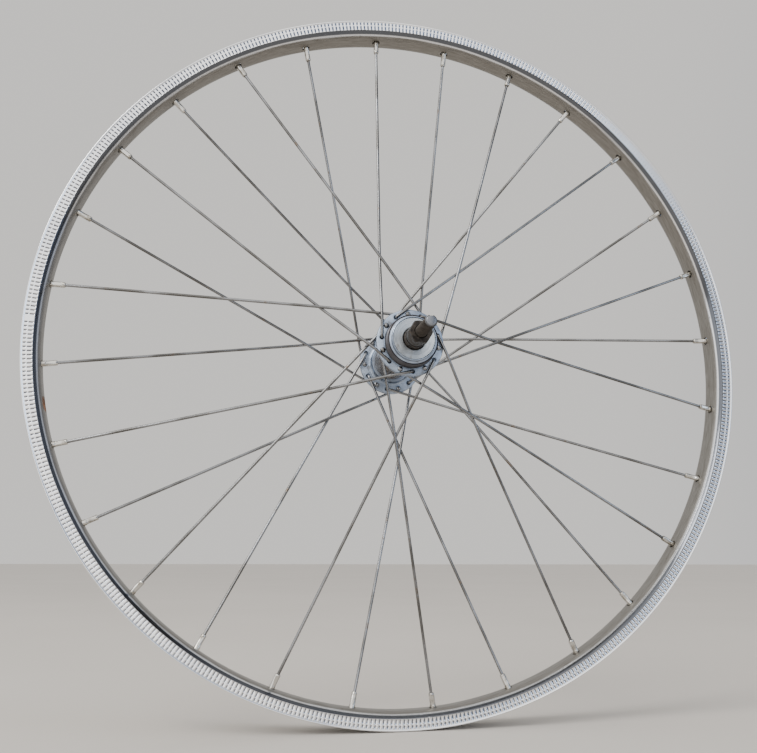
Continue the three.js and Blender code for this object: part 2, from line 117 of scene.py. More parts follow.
# ---- Node graphs --------------------------------------------------------------------------------
class Graph:
    """A material's nodes, with short ways to add the common ones."""

    def __init__(self, name):
        self.material = bpy.data.materials.new(name)
        self.material.use_nodes = True
        self.tree = self.material.node_tree
        self.shader = self.tree.nodes["Principled BSDF"]
        self.place = self.add("ShaderNodeTexCoord").outputs["Object"]

    def add(self, kind, **settings):
        node = self.tree.nodes.new(kind)
        for key, value in settings.items():
            setattr(node, key, value)
        return node

    def put(self, socket, value):
        if isinstance(value, bpy.types.NodeSocket):
            self.tree.links.new(value, socket)
        else:
            socket.default_value = value

    def math(self, operation, a, b=0.0, clamp=False):
        node = self.add("ShaderNodeMath", operation=operation, use_clamp=clamp)
        self.put(node.inputs[0], a)
        self.put(node.inputs[1], b)
        return node.outputs[0]

    def step(self, value, low, high, start=0.0, end=1.0):
        """start where value is at low or under, end where it is at high or over, smooth between."""
        node = self.add("ShaderNodeMapRange", interpolation_type="SMOOTHSTEP")
        for index, given in enumerate((value, low, high, start, end)):
            self.put(node.inputs[index], given)
        return node.outputs[0]

    def noise(self, scale, detail=4.0, where=None, roughness=0.5):
        node = self.add("ShaderNodeTexNoise")
        self.put(node.inputs["Vector"], where or self.place)
        self.put(node.inputs["Scale"], scale)
        self.put(node.inputs["Detail"], detail)
        self.put(node.inputs["Roughness"], roughness)
        return node.outputs["Fac"]

    def mix(self, factor, a, b):
        node = self.add("ShaderNodeMix", data_type="RGBA")
        self.put(node.inputs[0], factor)
        for socket, value in ((node.inputs[6], a), (node.inputs[7], b)):
            self.put(socket, (*value, 1.0) if isinstance(value, tuple) else value)
        return node.outputs[2]

    def parts(self):
        """x, y, z and the distance from the wheel's axis, in metres."""
        split = self.add("ShaderNodeSeparateXYZ")
        self.put(split.inputs[0], self.place)
        x, y, z = split.outputs
        squares = self.math("ADD", self.math("MULTIPLY", x, x), self.math("MULTIPLY", z, z))
        return x, y, z, self.math("SQRT", squares)

    def round_the_wheel(self, along, across):
        """Coordinates that run round the axis, stretched along the turn."""
        x, y, z, radius = self.parts()
        angle = self.math("ARCTAN2", z, x)
        join = self.add("ShaderNodeCombineXYZ")
        self.put(join.inputs[0], self.math("MULTIPLY", angle, along))
        self.put(join.inputs[1], self.math("MULTIPLY", radius, across))
        self.put(join.inputs[2], self.math("MULTIPLY", y, across))
        return join.outputs[0]

    def finish(self, color, roughness, metallic=1.0, bump=None, strength=0.2, distance=0.0002, specular=0.5):
        self.put(self.shader.inputs["Base Color"], color)
        self.put(self.shader.inputs["Roughness"], roughness)
        self.put(self.shader.inputs["Metallic"], metallic)
        self.put(self.shader.inputs["Specular IOR Level"], specular)
        if bump is not None:
            node = self.add("ShaderNodeBump")
            self.put(node.inputs["Strength"], strength)
            self.put(node.inputs["Distance"], distance)
            self.put(node.inputs["Height"], bump)
            self.put(self.shader.inputs["Normal"], node.outputs[0])
        return self.material


def rim_chrome():
    """Bright plate on the track and lips, dull and stained in the spoke bed, rust at the valve hole, painted shade in
    the shoulder groove and between the ribs.
    """
    g = Graph("rim_chrome")
    x, y, z, radius = g.parts()
    width = g.math("ABSOLUTE", y)
    turning = g.round_the_wheel(1.2, 60.0)
    cloud = g.noise(26.0, 5.0)
    streak = g.noise(22.0, 6.0, turning, 0.6)
    edge = g.math("ADD", width, g.math("MULTIPLY", g.math("SUBTRACT", cloud, 0.5), 0.0016))
    bed = g.math("MULTIPLY", g.step(edge, 0.0072, 0.0082, 1.0, 0.0), g.step(radius, 0.2432, 0.2442, 1.0, 0.0))
    bright = g.mix(g.step(cloud, 0.35, 0.7), (0.93, 0.94, 0.96), (0.82, 0.84, 0.88))
    dull = g.mix(g.step(streak, 0.3, 0.75), (0.22, 0.208, 0.19), (0.33, 0.32, 0.30))
    spots = g.noise(420.0, 3.0)
    speck = g.math("MULTIPLY", g.step(spots, 0.66, 0.74), g.step(cloud, 0.45, 0.6))
    dirt = g.mix(g.math("MULTIPLY", speck, 0.6), g.mix(bed, bright, dull), (0.10, 0.07, 0.05))
    there = [g.math("SUBTRACT", v, at) for v, at in (
        (x, math.cos(VALVE_ANGLE) * BED_RADIUS * MM), (z, math.sin(VALVE_ANGLE) * BED_RADIUS * MM), (y, 0.0))]
    away = g.math("SQRT", g.math("ADD", g.math("ADD", *[g.math("MULTIPLY", v, v) for v in there[:2]]),
                                 g.math("MULTIPLY", there[2], there[2])))
    ragged = g.math("ADD", away, g.math("MULTIPLY", g.math("SUBTRACT", g.noise(300.0), 0.5), 0.004))
    rust = g.step(ragged, 0.0042, 0.0068, 0.85, 0.0)
    color = g.mix(rust, dirt, (0.19, 0.075, 0.03))
    # Painted shade: a dark bluish band painted into the groove between the bed's shoulder and the track's inner edge.
    groove_shade = g.math("MULTIPLY", g.step(radius, 0.2421, 0.2427), g.step(radius, 0.24405, 0.24445, 1.0, 0.0))
    slope = g.math("MULTIPLY", g.math("SUBTRACT", radius, 0.2423), 1.29)
    outside = g.step(g.math("SUBTRACT", width, slope), 0.0072, 0.0079, 0.0, 0.88)
    color = g.mix(g.math("MULTIPLY", groove_shade, outside), color, (0.025, 0.033, 0.05))
    # Painted shade: the low gaps between the ribs of both tracks are painted dark bluish, but not the channel's inner
    # walls below them.
    lean = g.math("MULTIPLY", g.math("SUBTRACT", radius, TRACK_INNER * MM), TRACK_LEAN)
    height = g.math("SUBTRACT", g.math("SUBTRACT", width, TRACK_FOOT * MM), lean)
    between = g.math("MULTIPLY", g.step(height, 0.00014, 0.00033, 0.97, 0.0), g.step(radius, 0.2442, 0.2445))
    between = g.math("MULTIPLY", between, g.step(radius, 0.2499, 0.2502, 1.0, 0.0))
    between = g.math("MULTIPLY", between, g.step(height, -0.0004, -0.0002))
    color = g.mix(between, color, (0.035, 0.048, 0.08))
    rough = g.math("ADD", g.math("MULTIPLY", bed, 0.36), g.math("MULTIPLY", g.step(cloud, 0.4, 0.75), 0.07))
    rough = g.math("ADD", rough, g.math("ADD", 0.085, g.math("MULTIPLY", rust, 0.4)), clamp=True)
    metallic = g.step(rust, 0.1, 0.8, 1.0, 0.2)
    scratches = g.noise(9.0, 8.0, g.round_the_wheel(0.9, 900.0), 0.7)
    return g.finish(color, rough, metallic, scratches, 0.12, 0.00012)


def wire_steel():
    """Zinc-plated wire, dulled and lightly stained."""
    g = Graph("wire_steel")
    cloud = g.noise(38.0, 5.0)
    grain = g.noise(900.0, 3.0)
    color = g.mix(g.step(cloud, 0.35, 0.65), (0.28, 0.285, 0.295), (0.13, 0.127, 0.122))
    color = g.mix(g.step(g.noise(160.0, 4.0), 0.62, 0.72, 0.0, 0.6), color, (0.17, 0.12, 0.08))
    return g.finish(color, g.step(grain, 0.3, 0.7, 0.18, 0.32), 1.0, grain, 0.12, 0.00005)


def nipple_nickel():
    """Nickel-plated brass, warm and bright, darker where it is dirty."""
    g = Graph("nipple_nickel")
    cloud = g.noise(240.0, 4.0)
    color = g.mix(g.step(cloud, 0.42, 0.7), (0.60, 0.585, 0.55), (0.32, 0.295, 0.25))
    return g.finish(color, g.step(cloud, 0.35, 0.7, 0.12, 0.28), 1.0, g.noise(1500.0), 0.1, 0.00004)


def flange_plate():
    """Thin, worn plate over steel: bluish, cloudy, with grime near the holes and thread."""
    g = Graph("flange_plate")
    x, y, z, radius = g.parts()
    cloud = g.noise(90.0, 6.0, None, 0.6)
    fine = g.noise(700.0, 4.0)
    color = g.mix(g.step(cloud, 0.34, 0.66), (0.42, 0.49, 0.60), (0.27, 0.32, 0.40))
    grime = g.math("MULTIPLY", g.step(g.noise(210.0, 5.0), 0.56, 0.72), 0.55)
    color = g.mix(grime, color, (0.16, 0.145, 0.13))
    threaded = g.math("MULTIPLY", g.step(y, -0.0357, -0.0345, 0.0, 1.0), g.step(y, -0.0269, -0.0263, 1.0, 0.0))
    threaded = g.math("MULTIPLY", threaded, g.step(radius, 0.0161, 0.0166))
    root = g.step(radius, 0.01690, 0.01730, 0.95, 0.82)
    color = g.mix(g.math("MULTIPLY", threaded, root), color, (0.045, 0.032, 0.023))
    rough = g.math("ADD", g.step(cloud, 0.3, 0.7, 0.36, 0.52), g.math("MULTIPLY", grime, 0.2))
    return g.finish(color, rough, g.step(grime, 0.2, 0.6, 1.0, 0.75), fine, 0.2, 0.00008)


def barrel_plate():
    """Plate browned by a film of rust and old oil."""
    g = Graph("barrel_plate")
    cloud = g.noise(70.0, 6.0, None, 0.6)
    streak = g.noise(20.0, 6.0, g.round_the_wheel(0.15, 45.0))
    color = g.mix(g.step(streak, 0.35, 0.65), (0.30, 0.26, 0.225), (0.15, 0.115, 0.09))
    color = g.mix(g.step(cloud, 0.5, 0.75), color, (0.13, 0.085, 0.055))
    return g.finish(color, g.step(cloud, 0.35, 0.7, 0.22, 0.5), 0.95, g.noise(800.0), 0.2, 0.00008)


def cap_nickel():
    """Dull, smeared nickel plate."""
    g = Graph("cap_nickel")
    swirl = g.noise(16.0, 6.0, g.round_the_wheel(0.05, 120.0), 0.6)
    cloud = g.noise(150.0, 5.0)
    color = g.mix(g.step(swirl, 0.35, 0.7), (0.62, 0.67, 0.71), (0.44, 0.48, 0.52))
    color = g.mix(g.step(cloud, 0.60, 0.77, 0.0, 0.6), color, (0.22, 0.18, 0.14))
    return g.finish(color, g.step(cloud, 0.3, 0.7, 0.34, 0.5), 1.0, swirl, 0.15, 0.0001)


def oiled_steel():
    """Bare steel under old, dark oil."""
    g = Graph("oiled_steel")
    cloud = g.noise(260.0, 6.0, None, 0.6)
    color = g.mix(g.step(cloud, 0.38, 0.66), (0.018, 0.015, 0.013), (0.062, 0.052, 0.044))
    return g.finish(color, g.step(cloud, 0.3, 0.7, 0.34, 0.56), 0.35, g.noise(900.0), 0.25, 0.0001, 0.25)


def axle_steel():
    """Darkened threads with a wiped, brighter end."""
    g = Graph("axle_steel")
    x, y, z, radius = g.parts()
    cloud = g.noise(300.0, 5.0)
    color = g.mix(g.step(cloud, 0.35, 0.65), (0.020, 0.017, 0.015), (0.055, 0.047, 0.040))
    tops = g.step(radius, 0.00365, 0.0040, 0.0, 0.35)
    color = g.mix(tops, color, (0.055, 0.048, 0.042))
    end = g.step(g.math("ABSOLUTE", y), 0.0823, 0.0829)
    color = g.mix(end, color, (0.21, 0.22, 0.24))
    return g.finish(color, g.step(cloud, 0.3, 0.7, 0.34, 0.52), g.math("MAXIMUM", end, 0.35), g.noise(1200.0), 0.2, 0.00006, 0.2)


def polished_steel(name, warm):
    """Ground and polished bearing steel with smears of grease."""
    g = Graph(name)
    cloud = g.noise(200.0, 5.0)
    color = g.mix(g.step(cloud, 0.45, 0.7), (0.62, 0.62, 0.63), (0.62 * warm, 0.50 * warm, 0.30 * warm))
    return g.finish(color, g.step(cloud, 0.35, 0.7, 0.10, 0.34), 1.0, g.noise(1100.0), 0.08, 0.00005)


def pale_paint(name, light, dark):
    g = Graph(name)
    color = g.mix(g.noise(3.0, 6.0), light, dark)
    return g.finish(color, 0.85, 0.0, g.noise(60.0, 6.0), 0.05, 0.001)


RIM_CHROME = rim_chrome()
WIRE = wire_steel()
NICKEL = nipple_nickel()
FLANGE = flange_plate()
BARREL = barrel_plate()
CAP = cap_nickel()
OILED = oiled_steel()
AXLE = axle_steel()
RACE = polished_steel("race_steel", 0.8)
BALL = polished_steel("ball_steel", 0.95)
PAPER = pale_paint("pale_paper", (0.62, 0.58, 0.53), (0.56, 0.52, 0.47))


# ---- Mesh building ------------------------------------------------------------------------------
def sweep(rings, closed=False, caps=True):
    """Quads through a list of rings of points, each ring closed, as (points, faces)."""
    rings = np.asarray(rings, float)
    count, sides = rings.shape[:2]
    faces = []
    for i in range(count if closed else count - 1):
        a, b = i * sides, ((i + 1) % count) * sides
        for j in range(sides):
            k = (j + 1) % sides
            faces.append((a + j, a + k, b + k, b + j))
    if caps and not closed:
        faces.append(tuple(range(sides)))
        faces.append(tuple(range((count - 1) * sides, count * sides)))
    return rings.reshape(-1, 3), faces


def turned(profile, segments=96, shape=None):
    """A closed (radius, y) profile turned about the Y axis. shape may change a point by its angle."""
    angles = np.arange(segments) * TURN / segments
    rings = []
    for angle in angles:
        ring = []
        for radius, y in profile:
            if shape:
                radius, y = shape(radius, y, angle)
            ring.append((radius * math.cos(angle), y, radius * math.sin(angle)))
        rings.append(ring)
    return sweep(rings, closed=True)


def shaft(profile, segments=96, shape=None):
    """An open (radius, y) profile turned about the Y axis, its two ends closed by flat faces."""
    angles = np.arange(segments) * TURN / segments
    rings = []
    for radius, y in profile:
        ring = []
        for angle in angles:
            r, h = shape(radius, y, angle) if shape else (radius, y)
            ring.append((r * math.cos(angle), h, r * math.sin(angle)))
        rings.append(ring)
    return sweep(rings)


def joined(*meshes):
    points, faces, base = [], [], 0
    for mesh_points, mesh_faces in meshes:
        points.append(np.asarray(mesh_points, float))
        faces += [tuple(base + i for i in face) for face in mesh_faces]
        base += len(mesh_points)
    return np.concatenate(points), faces


def rounded(corners, radius, steps=3):
    """A closed profile with every corner rounded."""
    out = []
    count = len(corners)
    for i in range(count):
        before, here, after = (np.array(corners[(i + d) % count], float) for d in (-1, 0, 1))
        towards = [(before - here), (after - here)]
        reach = [min(radius, np.linalg.norm(v) * 0.45) for v in towards]
        start, end = (here + v / np.linalg.norm(v) * r for v, r in zip(towards, reach))
        for j in range(steps + 1):
            t = j / steps
            out.append(tuple((1 - t) ** 2 * start + 2 * t * (1 - t) * here + t * t * end))
    return out


def placed(mesh, matrix):
    points, faces = mesh
    return np.asarray(points) @ np.array(matrix.to_3x3()).T + np.array(matrix.translation), faces


def tube(path, radius, sides=14):
    """A round wire along a path of points."""
    path = np.asarray(path, float)
    ahead = np.gradient(path, axis=0)
    ahead /= np.linalg.norm(ahead, axis=1)[:, None]
    side = np.cross(ahead[0], (0.0, 1.0, 0.0) if abs(ahead[0][1]) < 0.9 else (1.0, 0.0, 0.0))
    rings = []
    for point, forward in zip(path, ahead):
        side = side - forward * side.dot(forward)
        side /= np.linalg.norm(side)
        other = np.cross(forward, side)
        turn = np.arange(sides) * TURN / sides
        rings.append(point + radius * (np.outer(np.cos(turn), side) + np.outer(np.sin(turn), other)))
    return sweep(rings)


def threaded(radius, depth, pitch, low, high, sides=72, steps=5):
    """The surface of a screw thread between two heights on the Y axis, its rows following the helix."""
    turns = int((high - low) / pitch) + 2
    rows = turns * steps
    points, faces = [], []
    for i in range(sides):
        angle = TURN * i / sides
        for j in range(rows + 1):
            y = low - pitch + pitch * (j / steps + i / sides)
            crest = abs(((j % steps) / steps) * 2 - 1)
            r = radius - depth * (1 - crest)
            y = min(max(y, low), high)
            points.append((r * math.cos(angle), y, r * math.sin(angle)))
    for i in range(sides):
        shift = steps if i == sides - 1 else 0
        here, there = i * (rows + 1), ((i + 1) % sides) * (rows + 1)
        for j in range(rows - shift):
            faces.append((here + j, there + j + shift, there + j + shift + 1, here + j + 1))
    return np.array(points), faces


def as_object(name, mesh, material, sharp=38.0):
    points, faces = mesh
    data = bpy.data.meshes.new(name)
    data.from_pydata((np.asarray(points) * MM).tolist(), [], faces)
    work = bmesh.new()
    work.from_mesh(data)
    bmesh.ops.recalc_face_normals(work, faces=work.faces)
    work.to_mesh(data)
    work.free()
    data.shade_smooth()
    data.set_sharp_from_angle(angle=math.radians(sharp))
    data.materials.append(material)
    thing = bpy.data.objects.new(name, data)
    scene.collection.objects.link(thing)
    return thing


def piece(name, mesh, material, body, slot, *nodes, sharp=38.0):
    """A finished piece of the wheel that rides on a body and stands for CAD nodes."""
    thing = as_object(name, mesh, material, sharp)
    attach(thing, body)
    if nodes:
        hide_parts(*nodes)
    return thing


def cut(mesh, cutters):
    """The mesh with the cutters' volumes taken away, as (points, faces)."""
    body = as_object("work_body", mesh, PAPER)
    tool = as_object("work_tool", joined(*cutters), PAPER)
    modifier = body.modifiers.new("cut", "BOOLEAN")
    modifier.operation = "DIFFERENCE"
    modifier.solver = "EXACT"
    modifier.object = tool
    bpy.context.view_layer.update()
    made = body.evaluated_get(bpy.context.evaluated_depsgraph_get()).to_mesh()
    points = np.array([v.co for v in made.vertices]) / MM
    faces = [tuple(p.vertices) for p in made.polygons]
    for thing in (body, tool):
        data = thing.data
        bpy.data.objects.remove(thing)
        bpy.data.meshes.remove(data)
    return points, faces


# ---- Placing ------------------------------------------------------------------------------------
def around(radius, angle, out):
    """A point from its distance to the axle, its angle from +X to +Z, and its distance to the drive side."""
    return np.array((radius * math.cos(angle), -out, radius * math.sin(angle)))


def standing(at, direction):
    """The matrix that stands a thing made along +Y at a point, along a direction."""
    up = np.asarray(direction, float) / np.linalg.norm(direction)
    across = np.cross(up, (0.0, 1.0, 0.0) if abs(up[1]) < 0.9 else (1.0, 0.0, 0.0))
    across /= np.linalg.norm(across)
    third = np.cross(across, up)
    rows = [[across[i], up[i], third[i], at[i]] for i in range(3)]
    return Matrix(rows + [[0, 0, 0, 1]])


def on_side(profile, side):
    """A (radius, distance out from the flange's middle plane) profile in (radius, y)."""
    return [(radius, -WAY[side] * (PLANE[side] + out)) for radius, out in profile]


def in_shell(profile, side):
    """A (radius, distance out from the end of the shell) profile in (radius, y)."""
    return [(radius, -WAY[side] * (SHELL_FACE[side] + out)) for radius, out in profile]


def lacing(k):
    side = "drive" if k % 2 else "plain"
    outer = k % 4 == 3 if side == "drive" else k % 4 == 0
    rim_angle = FIRST_SPOKE_ANGLE + k * SPOKE_STEP
    return side, outer, rim_angle, rim_angle + (CROSS_ANGLE if outer else -CROSS_ANGLE)


# ---- Rim ----------------------------------------------------------------------------------------
def track_height(radius):
    return TRACK_FOOT + TRACK_LEAN * (radius - TRACK_INNER)


def rim_sheet():
    """The rolled steel section, without the ribs of its two tracks."""
    outside = [(BED_RADIUS, 0.9), (BED_RADIUS, 2.6), (240.5, 4.4), (240.9, 6.0), (241.5, 7.3), (242.3, 8.5)]
    outside += [(243.1, 9.6), (243.7, 10.4), (TRACK_INNER, 10.95), (246.0, 11.12), (248.0, 11.3)]
    outside += [(TRACK_OUTER, 11.5), (250.7, 11.85), (251.1, 12.0), (251.5, 11.85), (RIM_RADIUS, 11.4)]
    inside = [(RIM_RADIUS, 10.9), (251.4, 10.5), (250.8, 10.3), (248.0, 10.05), (245.8, 9.8), (244.9, 9.2)]
    inside += [(244.0, 8.0), (243.1, 6.6), (242.3, 5.2), (241.8, 4.0), (241.65, 2.5), (241.65, 0.9)]
    half = outside + inside
    return turned(half + [(radius, -y) for radius, y in reversed(half)], 12 * SPOKES)


def rib_band(way):
    """One track's two rows of pressed ribs, interrupted at the weld."""
    rows = [(244.0, 0.0, -0.5), (244.25, 0.0, 1.0), (244.6, 1.0, 1.0), (245.6, 1.0, 1.0), (246.6, 1.0, 1.0)]
    rows += [(247.2, 1.0, 1.0), (247.45, 0.15, 0.95), (TRACK_SPLIT, 0.0, 0.8), (247.95, 0.15, 0.95)]
    rows += [(248.2, 1.0, 1.0), (249.0, 1.0, 1.0), (249.8, 1.0, 1.0), (250.1, 0.2, 0.9), (250.45, 0.0, -0.4)]
    phases = [(0.0, 0.0), (0.15, 0.7), (0.32, 1.0), (0.68, 1.0), (0.85, 0.7)]
    rings = []
    for rib in range(RIBS):
        for phase, height in phases:
            angle = SEAM_ANGLE + TURN * (rib + phase) / RIBS
            plain = (rib == 0 and phase < 0.2) or (rib == RIBS - 1 and phase > 0.8)
            ring = []
            for radius, depth, top in rows:
                fall = 0.0 if plain else depth * (1.0 - height)
                y = track_height(radius) + RIB_HEIGHT * (top - fall)
                ring.append((radius * math.cos(angle), -way * y, radius * math.sin(angle)))
            rings.append(ring)
    rings = np.array(rings)
    count, across = rings.shape[:2]
    faces = []
    for i in range(count):
        here, there = i * across, ((i + 1) % count) * across
        for j in range(across - 1):
            faces.append((here + j, here + j + 1, there + j + 1, there + j))
    return rings.reshape(-1, 3), faces


def rim():
    drills = []
    for k in range(SPOKES):
        side, _, angle, _ = lacing(k)
        where = around(BED_RADIUS, angle, WAY[side] * NIPPLE_OFFSET)
        profile = [(2.9, -2.0), (2.9, 0.02), (2.35, 0.5), (2.35, 3.0)]
        drills.append(placed(shaft(profile, 20), standing(where, around(1, angle, 0))))
    valve = [(5.4, -2.0), (5.4, -0.05), (4.3, 0.55), (4.3, 3.0)]
    drills.append(placed(shaft(valve, 28), standing(around(BED_RADIUS, VALVE_ANGLE, 0), around(1, VALVE_ANGLE, 0))))
    bead = rounded([(-3.2, -3.6), (3.2, -3.6), (3.2, 3.6), (-3.2, 3.6)], 1.2)
    levels = [(0.0, 1.0), (0.5, 0.95), (0.9, 0.8), (1.1, 0.4)]
    floor = 241.4
    rings = []
    for height, scale in levels:
        ring = [around(floor + height, SEAM_ANGLE, w * scale) + around(l * scale, SEAM_ANGLE + TURN / 4, 0) for l, w in bead]
        rings.append(ring)
    return joined(cut(rim_sheet(), drills), rib_band(1), rib_band(-1), sweep(rings))


# ---- Spokes and nipples -------------------------------------------------------------------------
def on_ray(start, end, angle):
    """Where the line between two points, seen along the axle, meets the ray at an angle."""
    across = [point[0] * math.sin(angle) - point[2] * math.cos(angle) for point in (start, end)]
    return start + (end - start) * across[0] / (across[0] - across[1])


def spoke_geometry(k):
    """A wire's corners from its head to the rim, and the line of its last run."""
    side, outer, rim_angle, hub_angle = lacing(k)
    way, plane = WAY[side], PLANE[side]
    face = 1 if outer else -1
    lift = FLANGE_HALF + 0.12 + SPOKE_RADIUS
    seat = around(HOLE_CIRCLE, hub_angle, way * (plane - face * (FLANGE_HALF + 0.1)))
    elbow = around(HOLE_CIRCLE, hub_angle, way * (plane + face * lift))
    bed = around(BED_RADIUS, rim_angle, way * NIPPLE_OFFSET)
    corners = [seat, elbow]
    if outer:  # over the flange's edge
        edge = elbow + (bed - elbow) * 0.058
        edge[1] = elbow[1]
        corners.append(edge)
    crossing = on_ray(elbow, bed, rim_angle + face * SPOKE_STEP)
    crossing[1] = -way * (LAST_CROSSING[side] - face * (SPOKE_RADIUS + 0.1))
    outward = (bed - crossing) / np.linalg.norm(bed - crossing)
    return corners + [crossing], bed, outward


def bent(corners, reaches, steps=8):
    """A path through corners, each inner one rounded within its reach."""
    path = [corners[0]]
    for before, here, after, reach in zip(corners, corners[1:], corners[2:], reaches):
        start, end = (here + (other - here) * reach / np.linalg.norm(other - here) for other in (before, after))
        for t in np.linspace(0.0, 1.0, steps + 1):
            path.append((1 - t) ** 2 * start + 2 * t * (1 - t) * here + t * t * end)
    return path + [corners[-1]]


def wire(k):
    """A spoke's wire: domed head, shank through the flange, bends, and straight run into the nipple."""
    corners, bed, outward = spoke_geometry(k)
    seat, elbow = corners[:2]
    reaches = [2.4] + [4.0] * (len(corners) - 3) + [9.0]
    path = bent(corners + [bed - outward * (NIPPLE_REACH - 3)], reaches)
    dome = [(1.0, 0.3), (1.45, 0.12), (1.8, 0.0), (1.82, -0.35), (1.6, -0.85), (1.1, -1.2), (0.4, -1.33)]
    head = placed(shaft(dome, 20), standing(seat, elbow - seat))
    return joined(tube(path, SPOKE_RADIUS), head)


def nipple(k):
    """A nipple: round tip, square flats for the key, collar in the rim, and a slotted head."""
    _, bed, outward = spoke_geometry(k)
    tip = -NIPPLE_REACH

    def shape(radius, y, angle):
        if tip + 1.1 < y < -1.9:
            radius = min(radius, 1.66 / max(abs(math.cos(angle)), abs(math.sin(angle))))
        if y > 2.6 and abs(radius * math.sin(angle)) < 0.55:
            y = 2.6
        return radius, y

    profile = [(1.06, tip + 0.5), (1.1, tip), (1.55, tip), (1.74, tip + 0.2), (1.84, tip + 0.7), (1.9, tip + 1.05)]
    profile += [(1.98, tip + 1.3), (1.98, -2.1), (2.0, -1.7), (2.0, 1.5), (2.9, 1.75), (3.05, 2.1), (3.0, 2.55)]
    profile += [(2.5, 3.2), (1.8, 3.45), (1.1, 3.5), (0.5, 3.5), (0.12, 3.5)]
    return placed(shaft(profile, 32, shape), standing(bed, outward))


# ---- Hub shell ----------------------------------------------------------------------------------
def flange(side):
    """A flange with its sleeve, its 14 countersunk spoke holes, and the shell that holds the bearing."""
    half = FLANGE_HALF
    face = [(BARREL_RADIUS + 0.05, -6.5), (14.6, -6.5), (14.95, -6.1), (15.0, -3.6), (15.2, -2.8), (15.7, -2.0)]
    face += [(16.5, -1.5), (17.4, -half), (22.5, -half), (23.2, -0.95), (FLANGE_RADIUS, -0.3), (FLANGE_RADIUS, 0.3)]
    face += [(23.2, 0.95), (22.5, half), (SHOULDER_RADIUS, half)]
    if side == "drive":
        root = THREAD_RADIUS - 0.72
        face += [(SHOULDER_RADIUS, 2.0), (17.85, THREAD_START), (root, THREAD_START), (root, THREAD_END)]
        face += [(16.2, THREAD_END), (NECK_RADIUS, THREAD_END + 0.5)]
    else:
        face += [(17.0, 1.6), (16.3, 2.3), (15.8, 3.4), (NECK_RADIUS, 5.5)]
    mouth = [(NECK_RADIUS, -0.6), (NECK_RADIUS - 0.15, -0.15), (14.95, 0.0), (CUP_BORE + 0.25, 0.0), (CUP_BORE, -0.3)]
    mouth += [(CUP_BORE, CUP_SEAT), (BARREL_RADIUS + 0.05, CUP_SEAT)]
    shell = turned(on_side(face, side) + in_shell(mouth, side), 6 * SPOKES)
    drills = []
    for k in range(SPOKES):
        spoke_side, _, _, hub_angle = lacing(k)
        if spoke_side == side:
            at = around(HOLE_CIRCLE, hub_angle, WAY[side] * PLANE[side])
            profile = [(2.1, -half - 0.4), (1.25, -half + 0.45), (1.25, half - 0.45), (2.1, half + 0.4)]
            drills.append(placed(shaft(profile, 20), standing(at, (0, 1, 0))))
    made = cut(shell, drills)
    if side == "drive":
        low, high = sorted(-(PLANE[side] + out) for out in (THREAD_START + 0.1, THREAD_END - 0.1))
        made = joined(made, threaded(THREAD_RADIUS, 0.62, 1.0, low, high, 120, 6))
    return made


def barrel():
    ends = (-(SHELL_FACE["drive"] + CUP_SEAT - 0.3), SHELL_FACE["plain"] + CUP_SEAT - 0.3)
    profile = [(11.5, ends[0]), (BARREL_RADIUS, ends[0]), (BARREL_RADIUS, ends[0] + 9), (BARREL_RADIUS - 0.15, -8.0)]
    profile += [(BARREL_RADIUS - 0.15, 18.0), (BARREL_RADIUS, ends[1] - 9), (BARREL_RADIUS, ends[1]), (11.5, ends[1])]
    return turned(profile)


# ---- Bearings -----------------------------------------------------------------------------------
def race_arc(start, end, steps=8, radius=BALL_RADIUS + 0.3):
    return [(BALL_CIRCLE + radius * math.cos(math.radians(a)), BALL_PLANE + radius * math.sin(math.radians(a)))
            for a in np.linspace(start, end, steps + 1)]


def cup(side):
    profile = [(8.4, -10.5), (13.9, -10.5), (14.1, -10.3), (14.1, -3.0), (BALL_CIRCLE + BALL_RADIUS + 0.3, -3.0)]
    return turned(in_shell(profile + race_arc(0, -90) + [(8.4, BALL_PLANE - BALL_RADIUS - 0.3)], side))


def dust_cap(side):
    """A pressed cap with a rolled inner edge and a shallow step."""
    profile = [(7.8, -1.4), (8.4, -1.5), (12.6, -1.4), (13.1, -2.1), (14.2, -2.1), (14.2, -0.4), (14.0, -0.25)]
    profile += [(13.5, -0.3), (12.5, -0.45), (8.4, -0.6), (8.0, -0.65), (7.75, -0.9)]
    return turned(in_shell(profile, side), 120)


def cone(side):
    """A bearing cone with a curved race and two flats for a thin spanner."""
    end = CONE_END[side] - SHELL_FACE[side]

    def shape(radius, y, angle):
        out = -WAY[side] * y - SHELL_FACE[side]
        if radius > 6.5 and out > 0.45:
            radius = min(radius, 6.4 / max(abs(math.cos(angle)), 1e-6))
        return radius, y

    profile = [(4.2, -8.7), (BALL_CIRCLE - BALL_RADIUS - 0.3, -8.7)] + race_arc(180, 132)
    profile += [(7.3, -3.3), (7.3, 0.1), (7.1, 0.3), (7.0, 0.4), (7.0, 0.5)]
    profile += [(7.0, end - 0.4), (6.7, end), (4.6, end), (4.2, end - 0.4)]
    return turned(in_shell(profile, side), 120, shape)


def cage(side):
    """A pressed retainer ring with a finger between each two balls."""
    ring = [(7.2, -1.9), (8.1, -2.2), (8.15, -1.95), (7.3, -1.65)]
    parts = [turned(in_shell([(r + 2.6, out + BALL_PLANE + 4.1) for r, out in ring], side))]
    for i in range(BALLS):
        angle = TURN * (i + 0.5) / BALLS
        path = [around(r, angle, WAY[side] * (SHELL_FACE[side] + BALL_PLANE + out)) for r, out in
                ((10.2, 2.1), (10.0, 1.2), (9.8, 0.0), (9.6, -1.0))]
        parts.append(tube(path, 0.45, 8))
    return joined(*parts)


def ball(side, index):
    work = bmesh.new()
    bmesh.ops.create_icosphere(work, subdivisions=4, radius=BALL_RADIUS)
    at = around(BALL_CIRCLE, TURN * index / BALLS, WAY[side] * (SHELL_FACE[side] + BALL_PLANE))
    points = np.array([v.co for v in work.verts]) + at
    faces = [tuple(v.index for v in f.verts) for f in work.faces]
    work.free()
    return points, faces


